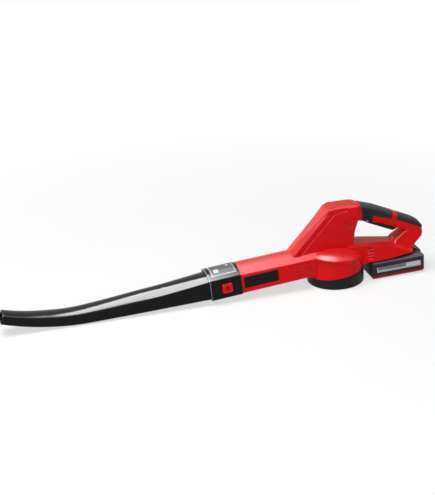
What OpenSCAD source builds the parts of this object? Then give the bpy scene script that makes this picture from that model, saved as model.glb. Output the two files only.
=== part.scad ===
// Cordless leaf blower: a radial fan under a two-part housing, a long curved
// blower tube on a release collar, a loop handle with a trigger and a slide-on
// battery pack. Units are millimetres. +Z is up and the tube points along -X.
// The origin is on the fan's axis, at the level of the surface it stands on.

/* [Blower tube] */
// Slope of the tube, collar and spigot below the horizontal
tube_pitch = 4.5; // [3:0.1:6]
// How far the middle of the tube sags below a straight line
tube_sag = 2.2; // [0:0.1:3]
// Length of the straight, tapering run
tube_straight_l = 245; // [180:1:280]
// Radius of the bend at the tip
tube_bend_r = 440; // [380:5:600]
// Angle that the bend turns through
tube_bend = 22.6; // [12:0.2:24]
// Outer width at the collar
tube_root_w = 61; // [54:0.5:61]
// Outer width at the mouth
tube_tip_w = 37; // [30:0.5:44]
// Height of the flat side walls at the collar
tube_root_side = 38.5; // [34:0.5:39]
// Height of the flat side walls at the mouth
tube_tip_side = 10.6; // [8:0.2:14]
// Rise of the arched top at the collar
tube_root_arch = 8; // [5:0.5:9]
// Rise of the arched top where the tube is a third of the way along
tube_mid_arch = 12.5; // [8:0.5:14]
// Rise of the arched top at the mouth
tube_tip_arch = 10; // [6:0.5:11]
// Wall thickness of the tube
tube_wall = 2; // [1.6:0.1:2.6]
// How far the tube's tail reaches into the collar
tube_tail_l = 14; // [10:0.5:15]

/* [Collar] */
// Length of the collar
collar_l = 65; // [58:0.5:70]
// Wall thickness of the collar
collar_wall = 2.2; // [1.8:0.1:2.6]
// Length of the spigot that the collar slides over
spigot_l = 42; // [36:0.5:43]
// Outer width of the spigot
spigot_w = 63; // [58:0.5:66]
// Height of the spigot's flat side walls
spigot_side = 40; // [37:0.5:43]
// Rise of the spigot's arched top
spigot_arch = 10; // [7:0.5:11]
// Running clearance between parts that slide on each other
slide_gap = 0.3; // [0.2:0.05:0.5]
// How far the tube can be drawn off the spigot
tube_travel = 55; // [48:1:120]
// Length of the release button along the collar
button_l = 21; // [16:0.5:23]
// Height of the release button
button_h = 20; // [14:0.5:24]
// How far the release button stands out of the collar
button_proud = 1.4; // [1:0.1:2]
// Travel of the release button
button_travel = 2.5; // [1.5:0.1:3]

/* [Duct] */
// Distance from the fan's axis to the duct's front edge
duct_front = 209; // [195:1:225]
// Height of the duct's side-wall middle at its front edge
duct_front_z = 35.4; // [32:0.2:38]
// Outer width of the duct
duct_w = 67; // [66:0.5:72]
// Height of the duct's flat side walls
duct_side = 42; // [41:0.5:46]
// Height of the duct's flat side walls where it meets the fan housing
duct_rear_side = 38; // [36:0.5:41]
// Rise of the duct's arched top at its front edge
duct_arch = 11; // [8:0.5:12]
// Rise of the duct's arched top where it meets the column
duct_rear_arch = 17; // [13:0.5:18]

/* [Fan housing] */
// Outer radius of the fan housing at its rounded ridge
volute_r = 61.6; // [60.4:0.2:64]
// Height of that ridge
ridge_z = 61; // [60:0.5:64]
// Slope of that ridge, falling to the rear
ridge_slope = 4.2; // [2:0.2:5]
// Height of the dome where it meets the column
dome_z = 78; // [76:0.5:82]
// Wall thickness of the housing
wall = 2.6; // [2:0.1:3]
// Width of the cut between the two shells
seam = 0.2; // [0.1:0.05:0.4]

/* [Intake] */
// Outer radius of the intake ring
ring_r = 58.4; // [57:0.2:59.4]
// Height of the intake ring on the fan's axis
ring_h = 26.5; // [23:0.5:29]
// Slope of the ring's top edge, rising to the rear
ring_slope = 7.8; // [4:0.2:9]
// Radius of the opening below the grille
intake_r = 51.5; // [48:0.5:52.5]
// Depth of the opening below the grille
intake_depth = 6; // [5:0.5:8]
// Thickness of the grille
grille_t = 2.4; // [2:0.2:3]
// Number of grille spokes
grille_spokes = 12; // [8:1:18]

/* [Fan and motor] */
// Radius of the impeller
impeller_r = 46; // [42:0.5:49]
// Height of the impeller's blades
blade_h = 20; // [14:0.5:21]
// Number of blades
blades = 11; // [7:1:13]
// Thickness of a blade
blade_t = 1.6; // [1.2:0.1:2.2]
// Radius of the air inlet in the chamber's floor
eye_r = 26; // [22:0.5:30]
// Radius of the motor's can
motor_r = 17.8; // [16:0.1:18]
// Length of the motor's can
motor_l = 56; // [46:0.5:60]
// Radius of the motor's shaft
shaft_r = 1.6; // [1.5:0.05:2.5]

/* [Column and handle] */
// Width of the column
column_w = 43; // [41:0.5:48]
// Distance from the fan's axis to the column's front ridge, at the dome's height
column_front = 97.5; // [95:0.5:101]
// Distance from the fan's axis to the front of the column's sides, at the dome's height
column_shoulder = 90; // [87:0.5:94]
// Lean of the column's front ridge from the vertical
column_lean = 44.4; // [43:0.1:46]
// Lean of the front edge of the column's sides from the vertical
shoulder_lean = 43.3; // [41:0.1:45]
// Distance from the fan's axis to the column's rear edge, at its foot
column_rear = 35.5; // [32:0.5:37]
// Height of the top of the column
column_top = 164; // [161:0.5:168]
// Width of the grip
grip_w = 34; // [32:0.5:38]
// Thickness of the rubber on the grip
rubber_t = 1.2; // [0.8:0.1:1.6]
// Width of the trigger
trigger_w = 20; // [14:0.5:22]
// Length of the trigger behind its pin
trigger_l = 63; // [56:0.5:65]
// Radius of the trigger's pin
trigger_pin_r = 2; // [1.5:0.1:2.4]
// Angle that the trigger turns through
trigger_swing = 6; // [4:0.5:7]

/* [Battery] */
// Length of the battery pack
batt_l = 118; // [116:1:126]
// Width of the battery pack
batt_w = 76; // [72:0.5:82]
// Height of the battery pack below its rails
batt_h = 39.5; // [38:0.5:41]
// Slope of the battery pack, rising to the rear
batt_pitch = 1.2; // [0.6:0.1:2.4]
// Distance from the fan's axis to the battery pack's front face
batt_front = 66; // [64.5:0.5:72]
// Width of the battery's rail tower over its flanges
rail_w = 48; // [42:0.5:52]
// Height of the battery's rail tower
rail_h = 9; // [7:0.5:10]
// Travel of the battery's release latch
latch_travel = 3; // [2:0.2:3.4]
// How far the battery pack slides back to come off its rails
batt_travel = 105; // [90:1:140]

/* [Fasteners] */
// Radius of a housing screw's shank
screw_r = 1.6; // [1.3:0.1:2]
// Radius of a housing screw's head
screw_head_r = 3.1; // [2.8:0.1:3.4]

/* [Hidden] */
$fn = 48;
eps = 0.01;
big = 1000;

red = [0.72, 0.02, 0.03];
black = [0.06, 0.06, 0.065];
rubber = [0.17, 0.18, 0.2];
steel = [0.72, 0.73, 0.75];
copper = [0.72, 0.42, 0.25];
brass = [0.8, 0.66, 0.3];

// Thin cover between two parts that are seated on each other.
seat = 0.05;
// Running clearance of a shaft or pin in its bore.
fit = 0.05;
// Clearance around a part that moves freely.
free = 0.5;
// Gap between a wire's end and what it is fixed to.
solder_gap = 0.2;

// ---- Outlines ----

// Half of an arch-topped section, from the middle of the bottom to the middle of the top.
// w is the full width, side the flat wall's height, top and under the rises of the arches.
function arch_half(w, side, top, under) = [
    [w / 2 * 0.45, -side / 2 - under * 0.8],
    [w / 2 * 0.84, -side / 2 - under * 0.25],
    [w / 2 * 0.96, -side / 2 + side * 0.03],
    [w / 2, -side / 2 + side * 0.09],
    [w / 2, side / 2 - 1.2],
    [w / 2 - 0.6, side / 2 + top * 0.03],
    [w / 2 * 0.86, side / 2 + top * 0.25],
    [w / 2 * 0.62, side / 2 + top * 0.56],
    [w / 2 * 0.32, side / 2 + top * 0.85]];
// The whole section, anticlockwise from the bottom.
function arch_section(w, side, top, under = 1.5) =
    let (right = arch_half(w, side, top, under), n = len(right))
    concat([[0, -side / 2 - under]], right, [[0, side / 2 + top]],
        [for (i = [n - 1:-1:0]) [-right[i][0], right[i][1]]]);

// A rectangle of half sizes w and h with round corners of radius r, anticlockwise.
function round_box(w, h, r, steps = 3) =
    [for (c = [[1, -1, -90], [1, 1, 0], [-1, 1, 90], [-1, -1, 180]])
        for (i = [0:steps])
            [c[0] * (w - r) + r * cos(c[2] + i * 90 / steps),
             c[1] * (h - r) + r * sin(c[2] + i * 90 / steps)]];

// Stands a flat outline up at [x, z], across a path that runs at angle a above +X.
function stand(outline, x, z, a = 0) =
    [for (p = outline) [x - p[1] * sin(a), p[0], z + p[1] * cos(a)]];
// Lays a flat outline down at height z, its first axis along X.
function lay(outline, z) = [for (p = outline) [p[0], p[1], z]];
// A value that runs from a to b as t runs from 0 to 1.
function mix(a, b, t) = a + (b - a) * t;

// A closed solid through a list of rings that all have the same number of points.
module loft(rings) {
    n = len(rings[0]);
    m = len(rings);
    polyhedron(
        points = [for (r = rings) each r],
        faces = concat(
            [[for (i = [0:n - 1]) i]],
            [for (k = [0:m - 2]) for (i = [0:n - 1]) let (j = (i + 1) % n)
                each [[k * n + i, (k + 1) * n + i, (k + 1) * n + j],
                      [k * n + i, (k + 1) * n + j, k * n + j]]],
            [[for (i = [n - 1:-1:0]) (m - 1) * n + i]]));
}

// A cylinder along Y from y0 to y1, at [x, z].
module across(x, z, r, y0, y1) {
    translate([x, y1, z]) rotate([90, 0, 0]) cylinder(r = r, h = y1 - y0);
}
// A side-view outline, extruded across the part to half-width w.
module plate_across(points, w) {
    rotate([90, 0, 0]) linear_extrude(2 * w, center = true) polygon(points);
}
// A ring of radii r0 and r1 from z0 to z1 on the fan's axis.
module ring(r0, r1, z0, z1) {
    translate([0, 0, z0]) difference() {
        cylinder(r = r1, h = z1 - z0);
        translate([0, 0, -eps]) cylinder(r = r0, h = z1 - z0 + 2 * eps);
    }
}

// ---- Places ----

// The duct's own frame: X runs back along its axis from its front edge.
module on_duct() {
    translate([-duct_front, 0, duct_front_z]) rotate([0, -tube_pitch, 0]) children();
}
// The battery's own frame: X runs back from its front face, Z up from its underside.
module on_battery() {
    translate([batt_front, 0, 0]) rotate([0, -batt_pitch, 0]) children();
}
// Height of the battery's frame at x along the part, h above the battery's underside.
function batt_z(x, h) = (x - batt_front) * tan(batt_pitch) + h / cos(batt_pitch);

// ---- Tube and collar ----

tube_start = collar_l - tube_tail_l;
function tube_w(t) = mix(tube_root_w, tube_tip_w, t);
function tube_side(t) = mix(tube_root_side, tube_tip_side, 1 - pow(1 - t, 1.7));
function tube_arch(t) = t < 0.35 ? mix(tube_root_arch, tube_mid_arch, t / 0.35)
    : mix(tube_mid_arch, tube_tip_arch, (t - 0.35) / 0.65);
bend_l = tube_bend_r * tube_bend * PI / 180;
tube_l = tube_straight_l + bend_l;
bend_steps = 10;

// The tube's section at a share t of its length, its wall moved in by d.
function tube_section(t, d) =
    arch_section(tube_w(t) - 2 * d, tube_side(t) - 2 * d * 0.8, tube_arch(t) - d * 0.2, 2 - d * 0.2);
// The tube's ring at distance s in front of the collar, in the duct's frame.
function tube_ring(s, d) =
    let (t = max(0, min(1, s / tube_l)),
         a = max(0, s - tube_straight_l) / tube_bend_r * 180 / PI,
         x = -collar_l - min(s, tube_straight_l) - tube_bend_r * sin(a),
         sag = tube_sag * sin(180 * max(0, min(1, s / (tube_straight_l + bend_l / 2)))),
         z = tube_bend_r * (1 - cos(a)) - sag)
    stand(tube_section(t, d), x, z, -a);
function tube_stations() = concat(
    [for (i = [bend_steps:-1:0]) tube_straight_l + bend_l * i / bend_steps],
    [for (t = [0.8:-0.2:0]) tube_straight_l * t],
    [-tube_tail_l]);
module tube_solid(d, over) {
    st = tube_stations();
    loft([for (i = [0:len(st) - 1])
        tube_ring(st[i] + (i == 0 ? over : i == len(st) - 1 ? -over : 0), d)]);
}

// ---- Spigot, duct and housing outside ----

module spigot_loft(d, x0, x1) {
    loft([for (x = [x0, x1])
        stand(arch_section(spigot_w - 2 * d, spigot_side - 1.6 * d, spigot_arch - 0.2 * d), x, 0)]);
}
// Distance along the duct's frame to where it ends inside the fan housing.
duct_end = duct_front - 45;
duct_drop = (duct_side - duct_rear_side) / 2;
module duct_outside() {
    loft([for (t = [0, 0.35, 0.7, 1])
        stand(arch_section(duct_w, mix(duct_side, duct_rear_side, t),
            mix(duct_arch, duct_rear_arch, t)), duct_end * t, -duct_drop * t)]);
}

wall_r = ring_r - 0.4;
chamber_r = wall_r - wall;
dome_h = dome_z - ridge_z;
// The housing's wall flares out over the intake ring.
skirt_z = 18;
skirt_h = 29;
skirt_out = 3.2;
lip_h = 7;
// Half of the domed lid's profile, its wall moved in by d.
function dome_profile(d) = concat(
    [[0, -lip_h - 2], [wall_r - 1 - d, -lip_h - 2], [wall_r - 1 - d, -lip_h],
     [volute_r - d, -1.6]],
    [for (t = [5:17:90]) [(volute_r - d) * cos(t), (dome_h - d) * sin(t)]]);
module dome(d) {
    translate([0, 0, ridge_z]) rotate([0, ridge_slope, 0])
        rotate_extrude($fn = 96) polygon(dome_profile(d));
}

// The column's front ridge and the front of its sides at height z.
function column_x0(z) = -column_front + (z - dome_z) * tan(column_lean);
function column_x1(z) = -column_shoulder + (z - dome_z) * tan(shoulder_lean);
column_tiers = [
    [0, 0], [0.2, 0], [0.45, 4], [0.72, 13], [0.88, 18], [0.95, 15], [0.985, 9], [1, 1]];
column_base = ridge_z + 1;
// The column's front is a ridge at its foot and widens to a flat face at its head.
ridge_w = 3;
function column_outline(z, rear, w, d) =
    let (x0 = column_x0(z) + d * 1.5, x1 = max(column_x1(z) + d * 1.5, x0 + 1),
         t = max(0, min(1, (z - dome_z) / (column_top - dome_z))),
         f = mix(ridge_w, column_w - 3, t) / 2 - d * 0.6)
    [[x0, f], [x0, -f], [x1, -w / 2], [rear - 7, -w / 2], [rear - 2, -w / 2 + 2],
     [rear, -w / 2 + 7], [rear, w / 2 - 7], [rear - 2, w / 2 - 2], [rear - 7, w / 2], [x1, w / 2]];
module column_outside() {
    loft([for (t = column_tiers)
        let (z = mix(column_base, column_top, t[0]), in = t[0] > 0.95 ? (t[0] - 0.95) * 120 : 0)
        lay(column_outline(z, column_rear + t[1], column_w - 2 * in, in * 0.7), z)]);
}
// The hollow in the column starts behind its front ridge.
room_front = column_front - 5.5;
room_lean = column_lean - 3.4;
function room_x0(z) = -room_front + (z - dome_z) * tan(room_lean) + wall * 1.5;
function room_outline(x0, x1, w) = [
    [x0, w / 2 - 6.5], [x0, -w / 2 + 6.5], [x0 + 7, -w / 2], [x1 - 7, -w / 2],
    [x1 - 2, -w / 2 + 2], [x1, -w / 2 + 7], [x1, w / 2 - 7], [x1 - 2, w / 2 - 2],
    [x1 - 7, w / 2], [x0 + 7, w / 2]];
module column_inside() {
    loft([for (t = [0, 0.2, 0.45, 0.72, 0.9])
        let (z = mix(column_base - 3, column_top - wall, t),
             x0 = max(room_x0(z), -chamber_r - 12 + t * 40))
        lay(room_outline(x0, column_rear - wall + (t > 0.5 ? 5 : 0), column_w - 2 * wall), z)]);
}

// The grip's middle line: x, z, slope and height of each section.
grip_line = [
    [16, 146, -3, 32], [30, 145.5, -9, 35], [48, 143, -18, 37.5], [76, 134.5, -22.5, 36],
    [107, 122.8, -24.5, 31.5], [137, 109.8, -26, 30], [160, 98.5, -28, 31], [172, 92, -32, 28.5],
    [180, 86, -50, 22]];
function grip_section(w, h, d) = round_box(w / 2 - d, h / 2 - d, min(11, h / 2 - d - 1), 3);
module grip_loft(d, first = 0, last = 8) {
    loft([for (i = [first:last]) let (g = grip_line[i])
        stand(grip_section(mix(column_w - 6, grip_w, min(1, i / 3)), g[3], d), g[0], g[1], g[2])]);
}

// The rear strut between the grip and the foot: height, front, rear and width.
strut_line = [
    [50, 126, 157, 60], [56, 122, 164, 54], [63, 119, 174, 46], [72, 124, 186, 38],
    [79, 134, 188, 36], [88, 147, 187, 34], [96, 152, 181, 32], [101, 156, 174, 28]];
module strut_loft(d, n = 7) {
    loft([for (i = [0:n]) let (s = strut_line[i], m = (s[1] + s[2]) / 2)
        lay([for (p = round_box((s[2] - s[1]) / 2 - d, s[3] / 2 - d, 8, 3)) [p[0] + m, p[1]]], s[0])]);
}

// The foot over the battery: x, height of its top and of its shoulder.
foot_line = [[20, 80.5, 76], [60, 76, 72.5], [93, 72.5, 67.5], [133, 67, 58.5], [159, 62, 51]];
foot_gap = 0.3;
foot_w = batt_w - 2;
function foot_section(x, top, shoulder, d) =
    let (z0 = batt_z(x, batt_h) + foot_gap + d * 0.8, w = foot_w / 2 - d)
    [[-w, z0], [w, z0], [w, z0 + 4 - d], [w - 7, shoulder - d], [15 - d, top - d],
     [-15 + d, top - d], [-w + 7, shoulder - d], [-w, z0 + 4 - d]];
module foot_loft(d, first = 0, last = 4) {
    loft([for (i = [first:last]) let (f = foot_line[i])
        stand(foot_section(f[0], f[1], f[2], d), f[0], 0)]);
}

module body_outside() {
    on_duct() {
        duct_outside();
        spigot_loft(0, -spigot_l, wall);
    }
    cylinder(r = wall_r, h = ridge_z - 3, $fn = 96);
    translate([0, 0, skirt_z]) cylinder(r1 = wall_r + skirt_out, r2 = wall_r - 0.6, h = skirt_h, $fn = 96);
    dome(0);
    column_outside();
    grip_loft(0);
    strut_loft(0);
    foot_loft(0);
}

// ---- Housing inside ----

// Height of the floor that the impeller runs over, and of the plate that carries the motor.
floor_z = 25;
floor_t = 2.4;
blade_gap = 2.5;
back_t = 2;
plate_t = 3;
blade_z = floor_z + blade_gap;
plate_z = blade_z + blade_h + back_t + 3;
motor_z = plate_z + plate_t;

// The duct's floor and roof where it opens into the fan's chamber, in the duct's frame.
duct_floor = -(duct_rear_side / 2 + duct_drop + 1.5 - wall);
function duct_roof(x) = plate_z - duct_front_z - x * sin(tube_pitch) - 1;
function duct_mouth(w, x) =
    stand(arch_section(w, duct_roof(x) - duct_floor - 1.5, 1), x, (duct_roof(x) + duct_floor) / 2);
module duct_inside() {
    w = duct_w - 2 * wall;
    on_duct() loft([
        for (x = [-spigot_l - 1, 0])
            stand(arch_section(spigot_w - 2 * wall, spigot_side - 1.6 * wall, spigot_arch - 0.5), x, 0),
        stand(arch_section(w, duct_side - 2 * wall, duct_arch - 0.5), 8, 0),
        stand(arch_section(w, duct_side - 2 * wall - 2, duct_arch), 70, -1.5),
        duct_mouth(w - 2, duct_end - 36),
        duct_mouth(w - 6, duct_end)]);
}
module ring_cut() {
    translate([0, 0, ring_h]) rotate([0, -ring_slope, 0])
        translate([0, 0, -big / 2]) cube(big, center = true);
}

// ---- Rails and latch ----

rail_gap = 0.3;
flange_h = 4;
neck_w = rail_w - 8;
rail_l = batt_l - 22;
module channel() {
    on_battery() {
        translate([12, -neck_w / 2 - rail_gap, batt_h - 5])
            cube([big, neck_w + 2 * rail_gap, 5 + rail_h - flange_h]);
        translate([12, -rail_w / 2 - rail_gap, batt_h + rail_h - flange_h - rail_gap])
            cube([big, rail_w + 2 * rail_gap, flange_h + 2 * rail_gap]);
    }
}
latch_w = 30;

// ---- Fasteners ----

// Places of the housing screws: x, z and the boss's half length, all driven from the right.
screws = [[-76, 82, 19], [-48, 107, 19], [2, 147, 19], [168, 90, 14], [66, 64.5, 24], [146, 57.5, 22]];
boss_r = screw_head_r + 2;
head_y = 8;
head_t = 2.4;

module screw_bosses() {
    for (s = screws) across(s[0], s[1], boss_r, -s[2], s[2]);
}
module screw_bores() {
    for (s = screws) {
        across(s[0], s[1], screw_r + fit, 4 - s[2], eps);
        across(s[0], s[1], screw_r + 0.3, 0, head_y + eps);
        across(s[0], s[1], screw_head_r + 0.3, head_y, 60);
    }
}
module housing_screws() {
    color(steel) for (s = screws) difference() {
        union() {
            across(s[0], s[1], screw_r, 5 - s[2], head_y + eps);
            across(s[0], s[1], screw_head_r, head_y, head_y + head_t);
        }
        translate([s[0], head_y + head_t, s[1]]) for (a = [0, 90]) rotate([0, a, 0])
            cube([3.4, 2.4, 0.8], center = true);
    }
}

// ---- Trigger, pin, switch and their places ----

pin_x = 66;
pin_z = 122.5;
trigger_slope = 24.5;
pin_l = grip_w - 4;
// The trigger's own frame: its origin is on the pin, X runs back along the grip.
module on_trigger() {
    translate([pin_x, 0, pin_z]) rotate([0, trigger_slope, 0]) children();
}
switch_x = 30;
switch_l = 24;
switch_w = 16;
switch_z = [14.5, 25];
plunger_r = 2.2;
plunger_gap = 0.5;
trigger_top = 6.5;
trigger_outline = [
    [-4.6, -3], [2, -4.7], [trigger_l, -4.7], [trigger_l + 3, -3.8], [trigger_l + 8, 2],
    [trigger_l + 11, 6], [trigger_l + 11, 8.6], [trigger_l - 4, 8.8],
    [switch_x, trigger_top], [10, 5.6], [0, 5.2], [-4.6, 3]];
spring_x = 118;
spring_z = [108.4, 126.2];

module trigger() {
    color(black) difference() {
        on_trigger() plate_across(trigger_outline, trigger_w / 2);
        across(pin_x, pin_z, trigger_pin_r + fit, -trigger_w, trigger_w);
        translate([spring_x, 0, spring_z[0] - 0.3]) cylinder(r = 4, h = 20);
    }
}
module trigger_pin() {
    color(steel) across(pin_x, pin_z, trigger_pin_r, -pin_l / 2, pin_l / 2);
}
module trigger_cheeks() {
    intersection() {
        across(pin_x, pin_z, trigger_pin_r + 2.4, -grip_w / 2, grip_w / 2);
        grip_loft(rubber_t);
    }
}
module trigger_slot() {
    w = trigger_w + 2 * free;
    for (a = [0, trigger_swing]) on_trigger() rotate([0, -a, 0])
        translate([-5.6, -w / 2, -25]) cube([trigger_l + 18, w, 25 + 9.3]);
    across(pin_x, pin_z, trigger_pin_r + fit, -pin_l / 2 - seat, pin_l / 2 + seat);
}
module switch_body() {
    color("dimgray") on_trigger() difference() {
        translate([switch_x - switch_l / 2, -switch_w / 2, switch_z[0]])
            cube([switch_l, switch_w, switch_z[1] - switch_z[0]]);
        translate([switch_x, 0, switch_z[0] - eps]) cylinder(r = plunger_r + fit, h = 6);
    }
}
module switch_plunger() {
    color("ivory") on_trigger() translate([switch_x, 0, trigger_top + plunger_gap])
        cylinder(r = plunger_r, h = switch_z[0] + 1 - trigger_top);
}

// A coil spring along +Z: outer radius r, wire radius w, free length l. A cone's turns nest when pressed.
module coil(r, w, l, turns = 5, cone = 0) {
    n = 12;
    sides = 5;
    m = turns * n;
    loft([for (k = [0:m]) let (a = 360 * k / n, z = w + (l - 2 * w) * k / m)
        [for (i = [0:sides - 1]) let (b = -360 * i / sides, q = r - w - cone * k / m + w * cos(b))
            [q * cos(a), q * sin(a), z + w * sin(b)]]]);
}
// How much a short spring narrows over its three turns.
nested = 2.6;
module trigger_spring() {
    color(steel) translate([spring_x, 0, spring_z[0]])
        coil(3.4, 0.4, spring_z[1] - spring_z[0], 6);
}

// ---- Motor ----

can_t = 1.2;
module motor_plate() {
    color(black) difference() {
        translate([0, 0, plate_z]) cylinder(r = chamber_r - 0.3, h = plate_t, $fn = 96);
        translate([0, 0, plate_z - eps]) cylinder(r = 6.5, h = plate_t + 1);
        for (m = [-1, 1]) translate([m * 11, 0, plate_z - eps]) {
            cylinder(r = 1.7, h = plate_t + 1);
            cylinder(r = 3.1, h = 1.4);
        }
    }
}
module motor_can() {
    color(steel) difference() {
        union() {
            translate([0, 0, motor_z]) cylinder(r = motor_r, h = motor_l);
        }
        translate([0, 0, motor_z + can_t]) cylinder(r = motor_r - can_t, h = motor_l);
        translate([0, 0, motor_z - eps]) cylinder(r = 4.5, h = can_t + 1);
        for (m = [-1, 1]) translate([m * 11, 0, motor_z - eps]) cylinder(r = 1.3, h = can_t + 1);
    }
}
module motor_screws() {
    color(steel) for (m = [-1, 1]) translate([m * 11, 0, plate_z + 0.1]) {
        cylinder(r = 2.9, h = 1.2);
        cylinder(r = 1.25, h = plate_t + can_t);
    }
}
magnet_z = motor_z + 9;
magnet_l = motor_l - 22;
magnet_r = motor_r - can_t - fit;
armature_r = magnet_r - 4.2;
module motor_magnets() {
    color("dimgray") for (a = [0, 180]) rotate(a) intersection() {
        ring(magnet_r - 3.6, magnet_r, magnet_z, magnet_z + magnet_l);
        translate([0, -20, magnet_z - 1]) linear_extrude(magnet_l + 2)
            polygon([[0, 20], [32, 4], [32, 36]]);
    }
}
cap_t = 5;
cap_z = motor_z + motor_l;
module motor_end_cap() {
    color("dimgray") difference() {
        union() {
            translate([0, 0, cap_z - cap_t]) cylinder(r = motor_r - can_t - fit, h = cap_t);
            translate([0, 0, cap_z]) cylinder(r = 6, h = 3);
        }
        translate([0, 0, cap_z - cap_t - eps]) cylinder(r = 4.1, h = cap_t + 2);
        translate([0, 0, cap_z]) cylinder(r = 4.1, h = 2);
    }
}
brush_z = cap_z - cap_t - 7;
commutator_r = 5;
module motor_brushes() {
    color(copper) for (m = [-1, 1])
        translate([m * (commutator_r + 0.3 + 3.5), 0, brush_z + 3.4])
            cube([7, 4, 5.8], center = true);
}
module motor_bushings() {
    color(brass) {
        ring(shaft_r + fit, 4.05, cap_z - cap_t, cap_z + 1.9);
        ring(shaft_r + fit, 4.45, motor_z, motor_z + 5);
    }
}
module commutator() {
    color(copper) ring(shaft_r, commutator_r, brush_z, brush_z + 6.6);
}
module armature() {
    color([0.6, 0.33, 0.16]) difference() {
        translate([0, 0, magnet_z + 1]) union() {
            cylinder(r = armature_r - 2.4, h = magnet_l - 2);
            translate([0, 0, 3]) difference() {
                cylinder(r = armature_r, h = magnet_l - 8);
                for (i = [0:4]) rotate(72 * i) translate([armature_r, 0, -1])
                    cube([4, 3, 200], center = true);
            }
        }
        translate([0, 0, magnet_z]) cylinder(r = shaft_r, h = magnet_l);
    }
}
shaft_low = blade_z + 6;
nut_h = 3.2;
module motor_shaft() {
    color(steel) translate([0, 0, shaft_low]) cylinder(r = shaft_r, h = cap_z + 1.5 - shaft_low);
}
hub_z = shaft_low + 0.8 + nut_h;
blade_r0 = 17;
blade_arc = 30;
module impeller() {
    color(black) difference() {
        union() {
            translate([0, 0, hub_z]) cylinder(r = 6, h = blade_z + blade_h + back_t + 2 - hub_z);
            translate([0, 0, blade_z + blade_h]) cylinder(r = impeller_r, h = back_t, $fn = 96);
            for (i = [0:blades - 1]) rotate(360 * i / blades) translate([0, 0, blade_z])
                linear_extrude(blade_h + 0.5) polygon(concat(
                    [for (t = [0:0.2:1]) let (r = mix(blade_r0, impeller_r - 0.4, t))
                        [r * cos(blade_arc * t), r * sin(blade_arc * t)]],
                    [for (t = [1:-0.2:0]) let (r = mix(blade_r0, impeller_r - 0.4, t))
                        [r * cos(blade_arc * t) - blade_t * sin(blade_arc),
                         r * sin(blade_arc * t) + blade_t * cos(blade_arc)]]));
        }
        translate([0, 0, hub_z - 1]) cylinder(r = shaft_r, h = 100);
    }
}
module fan_nut() {
    color(brass) translate([0, 0, shaft_low + 0.8]) difference() {
        cylinder(r = 3.6, h = nut_h, $fn = 6);
        translate([0, 0, -eps]) cylinder(r = shaft_r, h = nut_h + 1);
    }
}

// ---- Intake ----

tub_r = chamber_r - 0.3;
module intake_ring() {
    color(black) union() {
        difference() {
            cylinder(r = ring_r, h = ring_h + 10, $fn = 96);
            translate([0, 0, -eps]) cylinder(r = chamber_r, h = 60, $fn = 96);
            difference() {
                cylinder(r = 90, h = 90);
                ring_cut();
            }
        }
        difference() {
            cylinder(r = tub_r, h = floor_z, $fn = 96);
            translate([0, 0, -eps]) cylinder(r = intake_r, h = intake_depth + eps, $fn = 96);
            translate([0, 0, intake_depth - eps])
                cylinder(r = intake_r + 1, h = grille_t + eps, $fn = 96);
            translate([0, 0, intake_depth + grille_t - eps])
                cylinder(r = intake_r - 1.5, h = floor_z - floor_t - intake_depth - grille_t, $fn = 96);
            cylinder(r = eye_r, h = 60);
        }
        difference() {
            cylinder(r = chamber_r + eps, h = 12, $fn = 96);
            translate([0, 0, -eps]) cylinder(r = tub_r - 1, h = 60, $fn = 96);
        }
    }
}
module intake_grille() {
    r = intake_r + 1 - seat;
    color(black) translate([0, 0, intake_depth]) intersection() {
        cylinder(r = r, h = grille_t - seat, $fn = 96);
        union() {
            for (q = [0:3]) ring(10 + q * (r - 13) / 3, 13 + q * (r - 13) / 3, 0, grille_t);
            cylinder(r = 6, h = grille_t);
            for (i = [0:grille_spokes - 1]) rotate(360 * i / grille_spokes)
                translate([0, -0.9, 0]) cube([r + 1, 1.8, grille_t]);
        }
    }
}

// ---- Shells ----

grip_patch = [[[44, 176], [51, 160], [54, 143], [55, 118], [60, 108], [76, 114], [78, 132.5],
    [117, 120], [124, 134], [128, 150]],
    [[128, 116.5], [133, 126], [137, 145], [215, 112], [192, 97.4], [183.5, 90.2], [182, 92]]];
module grip_skin(i, over = 0) {
    intersection() {
        difference() {
            grip_loft(-over);
            grip_loft(rubber_t);
        }
        plate_across(grip_patch[i], 30);
    }
}
module front_grip() {
    color(rubber) difference() {
        grip_skin(0);
        trigger_slot();
        column_outside();
    }
}
module rear_grip() {
    color(rubber) grip_skin(1);
}

// A slot d deep in the side at half width y, l long from x. Its lower face slopes out to shed rain.
slot_h = 0.7;
module louvre(x, y, z, l, h, d) {
    translate([x, y, z]) rotate([90, 0, 90]) linear_extrude(l)
        polygon([[-d, h / 2], [-d, h / 2 - slot_h], [-2, h / 2 - slot_h], [0.5, -h / 2],
            [3, -h / 2], [3, h / 2]]);
}
module both_sides() {
    children();
    mirror([0, 1, 0]) children();
}
// Air slots behind the handle, on the foot's flanks and along the duct's sides.
vent_z = [116, 121.5, 127, 132.5];
vent_x = [4, 9, 6, 11];
vent_end = 35;
vent_h = 3;
foot_vent_l = 13;
gill_h = 3.6;
foot_vents = [[47, 36.2], [53.5, 34.6], [60, 33], [66.5, 31.3]];
foot_vent_x = 59;
gills = [[116, -9.5, 46], [113, -3.5, 43], [118, 2.5, 34], [124, 8.5, 22]];
module vents() {
    both_sides() {
        for (i = [0:3]) louvre(vent_x[i], column_w / 2, vent_z[i], vent_end - vent_x[i], vent_h, 4);
        for (v = foot_vents) louvre(foot_vent_x, v[1], v[0], foot_vent_l, vent_h, 2.4);
        on_duct() for (g = gills) louvre(g[0], duct_w / 2 + 0.5, g[1], g[2], gill_h, 2.1);
    }
}
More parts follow.
